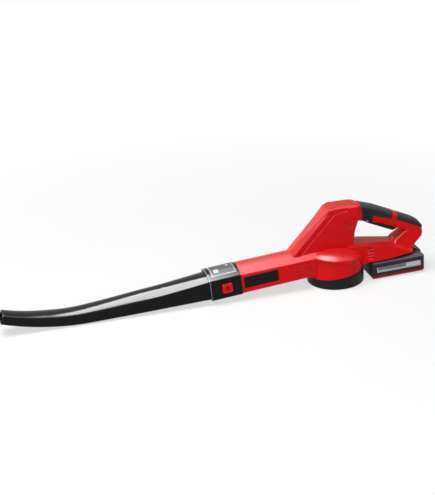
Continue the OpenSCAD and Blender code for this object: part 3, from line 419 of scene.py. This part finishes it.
def dress(node, material, width=0.0, segments=2):
    """Gives a solid its finish and rounded edges."""
    piece = NODES[node]
    piece.data.materials.clear()
    piece.data.materials.append(MATERIALS[material])
    soften(piece, width, segments)


def skin(bm, rings, close=False, cap=False):
    """Joins rings of points with quads.

    A closed skin joins its last ring to its first, and a capped one gets a face at each end.
    """
    made = [[bm.verts.new(p) for p in ring] for ring in rings]
    count = len(made[0])
    for a, b in zip(made, made[1:] + made[:1] if close else made[1:]):
        for i in range(count):
            j = (i + 1) % count
            bm.faces.new((a[i], a[j], b[j], b[i]))
    if cap:
        bm.faces.new(made[0])
        bm.faces.new(made[-1])


def mix(a, b, t):
    """The value at a share t of the way from a to b."""
    return a + (b - a) * t


def spline(points, steps):
    """A smooth open run through 2D points."""
    out = []
    ends = [points[0]] + list(points) + [points[-1]]
    for i in range(1, len(ends) - 2):
        p0, p1, p2, p3 = (Vector(p) for p in ends[i - 1:i + 3])
        for k in range(steps):
            t = k / steps
            out.append(0.5 * (2 * p1 + (p2 - p0) * t
                              + (2 * p0 - 5 * p1 + 4 * p2 - p3) * t * t
                              + (3 * p1 - p0 - 3 * p2 + p3) * t ** 3))
    out.append(Vector(points[-1]))
    return [tuple(p) for p in out]


def round_corners(half_x, half_z, radius, steps=6):
    """A rounded rectangle about the origin, as (x, z) pairs."""
    out = []
    for quarter, (sx, sz) in enumerate(((1, 1), (-1, 1), (-1, -1), (1, -1))):
        for k in range(steps + 1):
            a = math.radians(90 * (quarter + k / steps))
            out.append((sx * (half_x - radius) + radius * math.cos(a),
                        sz * (half_z - radius) + radius * math.sin(a)))
    return out


def wire_section(radius):
    """The corners of a thin round wire's section, as pairs of offsets."""
    return [(radius * math.cos(a), radius * math.sin(a))
            for a in (math.radians(45 * k) for k in range(8))]


def run_wire(bm, path, radius, place, sink=0.0):
    """Runs a thin round wire along a closed path of (x, z) pairs, sunk a little inside it.

    place(spot, rise) gives the place of a corner of the wire's section: spot is in the path's
    plane, and rise is how far the corner stands out of it.
    """
    rings = []
    for i, point in enumerate(path):
        ahead, behind = Vector(path[(i + 1) % len(path)]), Vector(path[i - 1])
        way = (ahead - behind).normalized()
        out = Vector((way.y, -way.x))
        rings.append([place(Vector(point) + out * (reach - sink), rise)
                      for reach, rise in wire_section(radius)])
    skin(bm, rings, close=True)


def on_duct(x, y, z):
    """The place of a point that is given along the duct's own axis."""
    s = sizes()
    c, d = math.cos(s.pitch), math.sin(s.pitch)
    return Vector((-s.duct_front + x * c - z * d, y, s.duct_front_z + x * d + z * c))


def off_duct(node):
    """A solid's corners, measured along the duct's own axis."""
    s = sizes()
    c, d = math.cos(s.pitch), math.sin(s.pitch)
    out = []
    for vertex in NODES[node].data.vertices:
        x, z = vertex.co.x + s.duct_front, vertex.co.z - s.duct_front_z
        out.append(Vector((x * c + z * d, vertex.co.y, z * c - x * d)))
    return out


# ---- The tube ----

# How soon the flanks grow lower, where the crown is highest as a share of the tube's length, and
# how far the flanks lean in as a share of their height.
FLANK_TAPER = 1.7
CROWN_PEAK = 0.35
FLANK_LEAN = 0.055

# The shares of the tube's length over which the crown goes from round to flat.
FLAT_FROM, FLAT_OVER = 0.25, 0.55

# The crown's right half, from the crease to the middle, in shares of the crease's reach and of the
# crown's rise: round near the collar, and flatter towards the mouth.
ROUND_CROWN = ((1.0, 0.0), (0.985, 0.08), (0.87, 0.28), (0.64, 0.60), (0.36, 0.87), (0, 1))
FLAT_CROWN = ((1.0, 0.0), (0.985, 0.22), (0.90, 0.55), (0.72, 0.82), (0.36, 0.95), (0, 1))


def tube_outline(t, inset):
    """The tube's section at a share t of its length: flat flanks, a crease and an arched crown.

    The points are (across, up) in millimetres, and lie inset inside the outer face.
    """
    size = sizes()
    half = mix(size.tube_root_width, size.tube_tip_width, t) / MM / 2 - inset
    taper = 1 - (1 - t) ** FLANK_TAPER
    flank = mix(size.tube_root_flank, size.tube_tip_flank, taper) / MM - 1.6 * inset
    if t < CROWN_PEAK:
        rise = mix(size.crown_root, size.crown_peak, t / CROWN_PEAK)
    else:
        past = (t - CROWN_PEAK) / (1 - CROWN_PEAK)
        rise = mix(size.crown_peak, size.crown_tip, past)
    rise = rise / MM - 0.2 * inset
    low = -flank / 2
    lean = flank * FLANK_LEAN
    crease = half - lean
    flat = max(0.0, min(1.0, (t - FLAT_FROM) / FLAT_OVER))
    crown = [(crease * mix(a, c, flat), flank / 2 - 0.3 + (rise + 0.3) * mix(b, d, flat))
             for (a, b), (c, d) in zip(ROUND_CROWN, FLAT_CROWN)]
    under = [(0, low - 2.0), (half * 0.45, low - 1.6), (half * 0.84, low - 0.6),
             (half * 0.95, low + flank * 0.02), (half - lean * 0.12, low + flank * 0.12)]
    side = [(half, -flank * 0.2), (half - lean * 0.2, flank * 0.1),
            (half - lean * 0.5, flank * 0.28), (crease + 0.15, flank / 2 - 1.3)]
    right = spline(under, 3) + side + spline(crown, 3)
    left = [(-x, z) for x, z in reversed(right[1:-1])]
    return right + left


def tube_lengths():
    """The tube's straight run, bend radius and whole length, in millimetres."""
    size = sizes()
    run, radius = size.tube_straight / MM, size.tube_bend_radius / MM
    return run, radius, run + radius * size.tube_bend


def tube_ring(s, inset):
    """The tube's section at s millimetres from the collar's front edge."""
    size = sizes()
    run, radius, total = tube_lengths()
    angle = max(0.0, s - run) / radius
    sagged = max(0.0, min(1.0, s / ((run + total) / 2)))
    x = -size.collar_length / MM - min(s, run) - radius * math.sin(angle)
    z = radius * (1 - math.cos(angle)) - size.tube_sag / MM * math.sin(math.pi * sagged)
    t = max(0.0, min(1.0, s / total))
    return [on_duct((x + h * math.sin(angle)) * MM, y * MM, (z + h * math.cos(angle)) * MM)
            for y, h in tube_outline(t, inset)]


class BLOWER_OT_tube(bpy.types.Operator):
    """Builds the curved blower tube with its wall and rolled mouth"""

    bl_idname = "blower.tube"
    bl_label = "Blower tube"

    def execute(self, context):
        total = tube_lengths()[2]
        tail, wall = sizes().tube_tail / MM, sizes().tube_wall / MM
        steps, lip = 46, 6
        stations = [-tail + (total + tail) * i / steps for i in range(steps)]

        # Each ring is a distance along the tube and an inset, both in millimetres.
        outer = [(s, 0.0) for s in stations if s < total - lip]
        groove = [(total - 5.0, 0.0), (total - 3.2, 0.0), (total - 2.6, 0.35),
                  (total - 1.8, 0.0), (total - 0.5, 0.0)]
        mouth = [(total, 0.45), (total, wall - 0.35), (total - 0.6, wall)]
        inner = [(s, wall) for s in reversed(stations)]

        def build(bm):
            skin(bm, [tube_ring(*ring) for ring in outer + groove + mouth + inner], close=True)

        piece = new_piece("tube_skin", build, "tube", "gloss", ["blower_tube"])
        soften(piece, 0.0004, 2, 40.0)
        return {"FINISHED"}


# ---- The plates' rims and the collar's bead ----


class BLOWER_OT_rims(bpy.types.Operator):
    """Builds the thin moulded rims around the two bare side plates"""

    bl_idname = "blower.rims"
    bl_label = "Plate rims"

    def execute(self, context):
        size = sizes()
        path = round_corners(size.rim_length / 2, size.rim_height / 2, size.rim_corner)
        for side, name in ((-1, "left_plate_rim"), (1, "right_plate_rim")):

            def place(spot, rise):
                return on_duct(size.rim_place + spot.x, side * (size.duct_width / 2 + rise * 0.9),
                               size.rim_rise + spot.y)

            def build(bm):
                run_wire(bm, path, size.rim_wire, place)

            smooth(new_piece(name, build, "housing", "shell"))
        return {"FINISHED"}


class BLOWER_OT_bead(bpy.types.Operator):
    """Builds the thin bead around the collar's front edge"""

    bl_idname = "blower.bead"
    bl_label = "Collar bead"

    def execute(self, context):
        size = sizes()
        front, near, shortest, lead = -size.collar_length, 0.0004, 0.0004, 0.0006
        rim = [p.yz for p in off_duct("tube_collar") if p.x < front + near]
        hull = [rim[i] for i in geometry.convex_hull_2d(rim)]
        path = [p for i, p in enumerate(hull) if (p - hull[i - 1]).length > shortest]

        def place(spot, rise):
            return on_duct(front + lead + rise, spot.x, spot.y)

        def build(bm):
            run_wire(bm, path, size.bead_wire, place, sink=0.0002)

        smooth(new_piece("collar_bead", build, "tube", "bead"))
        return {"FINISHED"}


# ---- Springs and plunger ----


def coil(name, start, end, radius, turns, cone, body):
    """A wire coil from its fixed end to its free end, narrowing by cone on the way.
    """
    start, end = Vector(start), Vector(end)
    wire = sizes().spring_wire
    axis = (end - start).normalized()
    side = axis.orthogonal().normalized()
    other = axis.cross(side)
    rise = (end - start).length - 2 * wire
    count = turns * 28

    def build(bm):
        rings = []
        for i in range(count + 1):
            t = i / count
            a = 2 * math.pi * turns * t
            out = side * math.cos(a) + other * math.sin(a)
            middle = start + axis * (wire + rise * t) + out * (radius - wire - cone * t)
            rings.append([middle + out * x + axis * y for x, y in wire_section(wire)])
        skin(bm, rings, cap=True)

    piece = new_piece(name + "_coil", build, body, "steel", [name])
    smooth(piece)
    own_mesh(piece)


class BLOWER_OT_springs(bpy.types.Operator):
    """Builds the three coil springs"""

    bl_idname = "blower.springs"
    bl_label = "Springs"

    def execute(self, context):
        cone = sizes().spring_cone
        low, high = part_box("trigger_spring")
        middle = (low.x + high.x) / 2
        coil("trigger_spring", (middle, 0, high.z), (middle, 0, low.z), (high.x - low.x) / 2,
             6, 0.0, "housing")

        low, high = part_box("latch_spring")
        middle, radius = low.x + 0.0046, 0.0043
        top = high.z - (high.z - low.z) * 0.05
        coil("latch_spring", (middle, 0, low.z), (middle, 0, top), radius,
             3, cone, "battery")

        corners = off_duct("button_spring")
        middle, radius = (min(p.x for p in corners) + max(p.x for p in corners)) / 2, 0.0047
        inner, outer = max(p.y for p in corners), min(p.y for p in corners)
        coil("button_spring", on_duct(middle, inner, 0), on_duct(middle, outer, 0), radius,
             3, cone, "tube")
        return {"FINISHED"}


# The plunger's tip: its reach and its depth, in shares of the plunger's radius.
DOME = ((0.1, 0.0), (0.5, 0.06), (0.8, 0.2), (0.95, 0.4), (1.0, 0.65))


class BLOWER_OT_plunger(bpy.types.Operator):
    """Builds the switch plunger with a domed tip"""

    bl_idname = "blower.plunger"
    bl_label = "Switch plunger"

    def execute(self, context):
        slope = sizes().plunger_slope
        axis = Vector((math.sin(slope), 0, math.cos(slope)))
        across = Vector((math.cos(slope), 0, -math.sin(slope)))
        corners = [Vector(v.co) for v in NODES["switch_plunger"].data.vertices]
        middle = sum(corners, Vector()) / len(corners)
        along = [(c - middle).dot(axis) for c in corners]
        radius = max(abs(c.y) for c in corners)
        low, high = min(along), max(along)

        def build(bm):
            rings = []
            around = [2 * math.pi * k / 32 for k in range(32)]
            for share, depth in (*DOME, (1.0, (high - low) / radius)):
                spot, reach = middle + axis * (low + depth * radius), share * radius
                rings.append([spot + across * reach * math.cos(a)
                              + Vector((0, reach * math.sin(a), 0)) for a in around])
            skin(bm, rings, cap=True)

        piece = new_piece("domed_plunger", build, "plunger", "ivory",
                          ["switch_plunger"])
        soften(piece, 0.0)
        return {"FINISHED"}


# ---- The release button ----


class BLOWER_OT_button(bpy.types.Operator):
    """Builds the rounded release button with a plain round dimple in a darker red, which is painted
    shade
    """

    bl_idname = "blower.button"
    bl_label = "Release button"

    def execute(self, context):
        size = sizes()
        corner, fillet, dish = size.button_corner, size.button_fillet, size.button_dish
        brim_corner = brim_step = 0.0005
        corners = off_duct("tube_button")
        face, back = min(p.y for p in corners), max(p.y for p in corners)
        front = [p for p in corners if p.y < face + 0.0001]
        x0, x1 = min(p.x for p in front), max(p.x for p in front)
        middle, half_x, half_z = (x0 + x1) / 2, (x1 - x0) / 2, max(p.z for p in front)
        brim_x, brim_z = half_x - 0.001, max(p.z for p in corners)
        brim = min(p.y for p in corners if p.z > half_z + brim_step)

        # Each loop is a half width, a half height, a corner radius and a depth.
        loops = [(brim_x, brim_z, brim_corner, back), (brim_x, brim_z, brim_corner, brim),
                 (half_x, half_z, corner, brim - 0.00002), (half_x, half_z, corner, face + fillet)]
        for a in (math.radians(22.5 * k) for k in range(1, 5)):
            inset = fillet * (1 - math.cos(a))
            loops.append((half_x - inset, half_z - inset, corner - inset,
                          face + fillet * (1 - math.sin(a))))
        loops.append((dish, dish, dish * 0.98, face))
        loops.append((dish * 0.88, dish * 0.88, dish * 0.86, face + 0.0007))
        loops.append((dish * 0.3, dish * 0.3, dish * 0.29, face + 0.0009))

        def build(bm):
            skin(bm, [[on_duct(middle + x, y, z) for x, z in round_corners(wide, high, radius)]
                      for wide, high, radius, y in loops], cap=True)

        piece = new_piece("button_cap", build, "tube_button", "signal",
                          ["tube_button"])
        # The dimple's faces take the darker base red, as painted shade in the dimple.
        piece.data.materials.append(MATERIALS["base"])
        painted_shade_count = 2 * len(round_corners(dish, dish, dish)) + 1
        for polygon in piece.data.polygons[-painted_shade_count:]:
            polygon.material_index = 1
        soften(piece, 0.0, 2, 40.0)
        return {"FINISHED"}


# ---- Finishes of the solids ----


class BLOWER_OT_housing(bpy.types.Operator):
    """Finishes the two housing shells and the rubber grips"""

    bl_idname = "blower.housing"
    bl_label = "Housing"

    def execute(self, context):
        edge = sizes().edge
        dress("left_shell", "shell", edge * 1.5, 3)
        dress("right_shell", "shell", edge * 1.5, 3)
        dress("front_grip", "rubber", edge * 0.6)
        dress("rear_grip", "rubber", edge * 0.6)
        dress("intake_ring", "satin", edge)
        dress("intake_grille", "satin", edge * 0.5)
        dress("spigot_seal", "rubber")
        return {"FINISHED"}


class BLOWER_OT_controls(bpy.types.Operator):
    """Finishes the trigger, collar, latch and side plates"""

    bl_idname = "blower.controls"
    bl_label = "Controls"

    def execute(self, context):
        edge, fine = sizes().edge, sizes().fine_edge
        dress("trigger", "satin", edge)
        dress("tube_collar", "gloss", edge)
        dress("collar_label", "collar_label")
        dress("battery_latch", "base", edge)
        dress("left_plate", "plate", fine)
        dress("right_plate", "plate", fine)
        return {"FINISHED"}


class BLOWER_OT_battery(bpy.types.Operator):
    """Finishes the battery pack"""

    bl_idname = "blower.battery"
    bl_label = "Battery pack"

    def execute(self, context):
        edge, fine = sizes().edge, sizes().fine_edge
        dress("battery_lower_case", "battery", edge * 2.5, 3)
        dress("battery_upper_case", "battery", edge * 2.5, 3)
        dress("battery_base", "base", edge)
        dress("battery_label", "battery_label")
        dress("battery_cells", "cell", fine * 2)
        dress("cell_holder", "satin", fine * 1.5)
        dress("battery_board", "board", fine)
        dress("battery_terminals", "brass", fine * 0.5)
        dress("battery_screws", "steel", fine)
        return {"FINISHED"}


# The hidden solids by finish: those with rounded edges, then those with sharp ones.
ROUNDED_INSIDES = {
    "steel": ("motor_can", "motor_screws", "housing_screws"),
    "satin": ("impeller",),
    "brass": ("fan_nut",),
}
SHARP_INSIDES = {
    "satin": ("motor_plate", "motor_end_cap", "switch_body", "terminal_block"),
    "steel": ("motor_shaft", "trigger_pin"),
    "magnet": ("motor_magnets", "motor_brushes"),
    "brass": ("motor_bushings", "commutator", "terminal_blades"),
    "copper": ("armature",),
    "board": ("controller_board",),
    "wire_red": ("battery_leads",),
    "wire_blue": ("motor_leads",),
}


class BLOWER_OT_insides(bpy.types.Operator):
    """Finishes the motor, fan, switch, wires and fasteners"""

    bl_idname = "blower.insides"
    bl_label = "Motor and fittings"

    def execute(self, context):
        for width, group in ((sizes().fine_edge, ROUNDED_INSIDES), (0.0, SHARP_INSIDES)):
            for material, nodes in group.items():
                for node in nodes:
                    dress(node, material, width)
        return {"FINISHED"}


# ---- Stage ----

FLOOR_HALF = 60.0
FLOOR_DROP = 0.0005
MIDDLE = (-0.2, 0.0, 0.05)

# Near this place the floor is this share white, so that it keeps the shadow. It turns wholly white
# between the two distances.
SHADOW_PLACE = (-0.23, 0.0, 0.0)
NEAR_WHITE = 0.62
SHADOW_FROM, SHADOW_TO = 0.45, 1.1

WORLD_LOW, WORLD_HIGH = 0.048, 0.24

LAMPS = (
    dict(name="key_softbox", place=(-1.1, -0.3, 2.8), target=MIDDLE, size=(1.8, 1.8), power=80),
    dict(name="overhead_reflector", place=(-1.6, 0.35, 4.0), target=(-1.6, 0.35, 0.0),
         size=(3.6, 4.4), power=3600, diffuse=False),
    dict(name="left_reflector", place=(-2.6, 3.6, 1.3), target=MIDDLE, size=(2.6, 2.0), power=100,
         diffuse=False, tint=(1, 0.92, 0.8)),
    dict(name="right_reflector", place=(0.5, -0.3, 1.6), target=(-0.6, 0.0, 0.0),
         size=(0.8, 1.6), power=40, diffuse=False),
    dict(name="front_fill", place=(-1.0, -2.2, 0.9), target=MIDDLE, size=(1.5, 1.0), power=22,
         glossy=False),
)

CAMERA_PLACE = (-0.8266, -2.3243, 1.1259)
CAMERA_LENS = 94.9
CAMERA_AROUND = math.radians(14)
CAMERA_ABOVE = math.radians(23)
CAMERA_ROLL = math.radians(3.3)


def lamp(name, place, target, size, power, diffuse=True, glossy=True, tint=(1, 1, 1)):
    """A soft panel that can be left out of the plain light or of the reflections."""
    data = bpy.data.lights.new(name, "AREA")
    data.shape = "RECTANGLE"
    data.size, data.size_y = size
    data.energy = power
    data.color = tint
    panel = bpy.data.objects.new(name, data)
    panel.location = place
    panel.visible_diffuse = diffuse
    panel.visible_glossy = glossy
    bpy.context.scene.collection.objects.link(panel)
    panel.rotation_mode = "QUATERNION"
    panel.rotation_quaternion = (Vector(target) - panel.location).to_track_quat("-Z", "Y")


def seen_rays(tree):
    """1 for the rays that look at the background, straight on, in gloss or through glass."""
    path = tree.nodes.new("ShaderNodeLightPath").outputs
    rays = math_node(tree, "MAXIMUM", path["Is Camera Ray"], path["Is Glossy Ray"])
    return math_node(tree, "MAXIMUM", rays, path["Is Transmission Ray"])


def floor_paper():
    """Pale paper that keeps the blower's shadow and turns pure white further off."""
    material, tree, shader = new_material("floor_paper")
    shader.inputs["Base Color"].default_value = (*colours().floor, 1)
    shader.inputs["Roughness"].default_value = 0.9
    shader.inputs["Specular IOR Level"].default_value = 0.1
    nodes, links = tree.nodes, tree.links
    glow = nodes.new("ShaderNodeEmission")
    glow.inputs["Strength"].default_value = 1.0
    rays = seen_rays(tree)
    place = nodes.new("ShaderNodeTexCoord")
    away = nodes.new("ShaderNodeVectorMath")
    away.operation = "DISTANCE"
    links.new(place.outputs["Object"], away.inputs[0])
    away.inputs[1].default_value = SHADOW_PLACE
    white = spread(tree, away.outputs["Value"], NEAR_WHITE, 1.0, SHADOW_FROM, SHADOW_TO)
    blend = nodes.new("ShaderNodeMixShader")
    links.new(math_node(tree, "MULTIPLY", rays, white), blend.inputs[0])
    links.new(shader.outputs[0], blend.inputs[1])
    links.new(glow.outputs[0], blend.inputs[2])
    links.new(blend.outputs[0], nodes["Material Output"].inputs[0])
    return material


def make_floor(scene):
    """A wide level floor just under the blower."""

    def build(bm):
        bmesh.ops.create_grid(bm, x_segments=4, y_segments=4, size=FLOOR_HALF)

    mesh = mesh_from("floor", build)
    floor = bpy.data.objects.new("floor", mesh)
    floor.location = (0, 0, CAD_BOX[0][2] - FLOOR_DROP)
    scene.collection.objects.link(floor)
    mesh.materials.append(floor_paper())


def make_world(scene):
    """White where it is seen, and a dim light that is stronger overhead for all else."""
    world = bpy.data.worlds.new("studio")
    scene.world = world
    world.use_nodes = True
    tree = world.node_tree
    tree.nodes.clear()
    place = tree.nodes.new("ShaderNodeTexCoord")
    split = tree.nodes.new("ShaderNodeSeparateXYZ")
    tree.links.new(place.outputs["Generated"], split.inputs[0])
    dim = spread(tree, split.outputs[2], WORLD_LOW, WORLD_HIGH, start=0.0, end=0.9)
    back = tree.nodes.new("ShaderNodeBackground")
    back.inputs["Color"].default_value = (1, 1, 1, 1)
    out = tree.nodes.new("ShaderNodeOutputWorld")
    rays = seen_rays(tree)
    unseen = math_node(tree, "MULTIPLY", dim, math_node(tree, "SUBTRACT", 1.0, rays))
    tree.links.new(math_node(tree, "ADD", unseen, rays), back.inputs["Strength"])
    tree.links.new(back.outputs[0], out.inputs[0])


def make_camera(scene):
    """A camera that looks down at the blower from its left side, a little rolled."""
    view = bpy.data.cameras.new("view")
    view.lens = CAMERA_LENS
    view.sensor_width = 36.0
    view.clip_end = 300.0
    camera = bpy.data.objects.new("view", view)
    away = Vector((-math.sin(CAMERA_AROUND) * math.cos(CAMERA_ABOVE),
                   -math.cos(CAMERA_AROUND) * math.cos(CAMERA_ABOVE), math.sin(CAMERA_ABOVE)))
    level = Vector((0, 0, 1)).cross(away).normalized()
    upright = away.cross(level)
    right = level * math.cos(CAMERA_ROLL) - upright * math.sin(CAMERA_ROLL)
    up = level * math.sin(CAMERA_ROLL) + upright * math.cos(CAMERA_ROLL)
    camera.matrix_world = Matrix((
        (right.x, up.x, away.x, CAMERA_PLACE[0]),
        (right.y, up.y, away.y, CAMERA_PLACE[1]),
        (right.z, up.z, away.z, CAMERA_PLACE[2]),
        (0, 0, 0, 1),
    ))
    scene.collection.objects.link(camera)
    scene.camera = camera


class BLOWER_OT_stage(bpy.types.Operator):
    """Adds the pale floor, the soft lights and the camera"""

    bl_idname = "blower.stage"
    bl_label = "Stage"

    def execute(self, context):
        scene = bpy.context.scene
        make_floor(scene)
        make_world(scene)
        for panel in LAMPS:
            lamp(**panel)
        make_camera(scene)
        scene.view_settings.view_transform = "Standard"
        return {"FINISHED"}


# ---- Panel and registration ----


class BLOWER_PT_panel(bpy.types.Panel):
    """Lists the steps that dress the blower"""

    bl_label = "Leaf blower"
    bl_idname = "BLOWER_PT_panel"
    bl_space_type = "VIEW_3D"
    bl_region_type = "UI"
    bl_category = "Leaf blower"

    def draw(self, context):
        for operator in STEPS:
            self.layout.operator(operator.bl_idname)
        for group in (context.scene.blower_sizes, context.scene.blower_colours):
            for name in group.__annotations__:
                self.layout.prop(group, name)


STEPS = (
    BLOWER_OT_housing,
    BLOWER_OT_controls,
    BLOWER_OT_battery,
    BLOWER_OT_insides,
    BLOWER_OT_tube,
    BLOWER_OT_plunger,
    BLOWER_OT_springs,
    BLOWER_OT_button,
    BLOWER_OT_bead,
    BLOWER_OT_rims,
    BLOWER_OT_stage,
)
CLASSES = (BlowerSizes, BlowerColours, *STEPS, BLOWER_PT_panel)


def register():
    """Makes the operators, the panel and the settings known."""
    for item in CLASSES:
        bpy.utils.register_class(item)
    bpy.types.Scene.blower_sizes = PointerProperty(type=BlowerSizes)
    bpy.types.Scene.blower_colours = PointerProperty(type=BlowerColours)


def unregister():
    """Takes the operators, the panel and the settings away."""
    del bpy.types.Scene.blower_colours
    del bpy.types.Scene.blower_sizes
    for item in reversed(CLASSES):
        bpy.utils.unregister_class(item)


def main():
    """Builds everything in order."""
    register()
    MATERIALS.update(make_materials())
    bpy.ops.blower.housing()
    bpy.ops.blower.controls()
    bpy.ops.blower.battery()
    bpy.ops.blower.insides()
    bpy.ops.blower.tube()
    bpy.ops.blower.plunger()
    bpy.ops.blower.springs()
    bpy.ops.blower.button()
    bpy.ops.blower.bead()
    bpy.ops.blower.rims()
    bpy.ops.blower.stage()


if __name__ == "__main__":
    main()
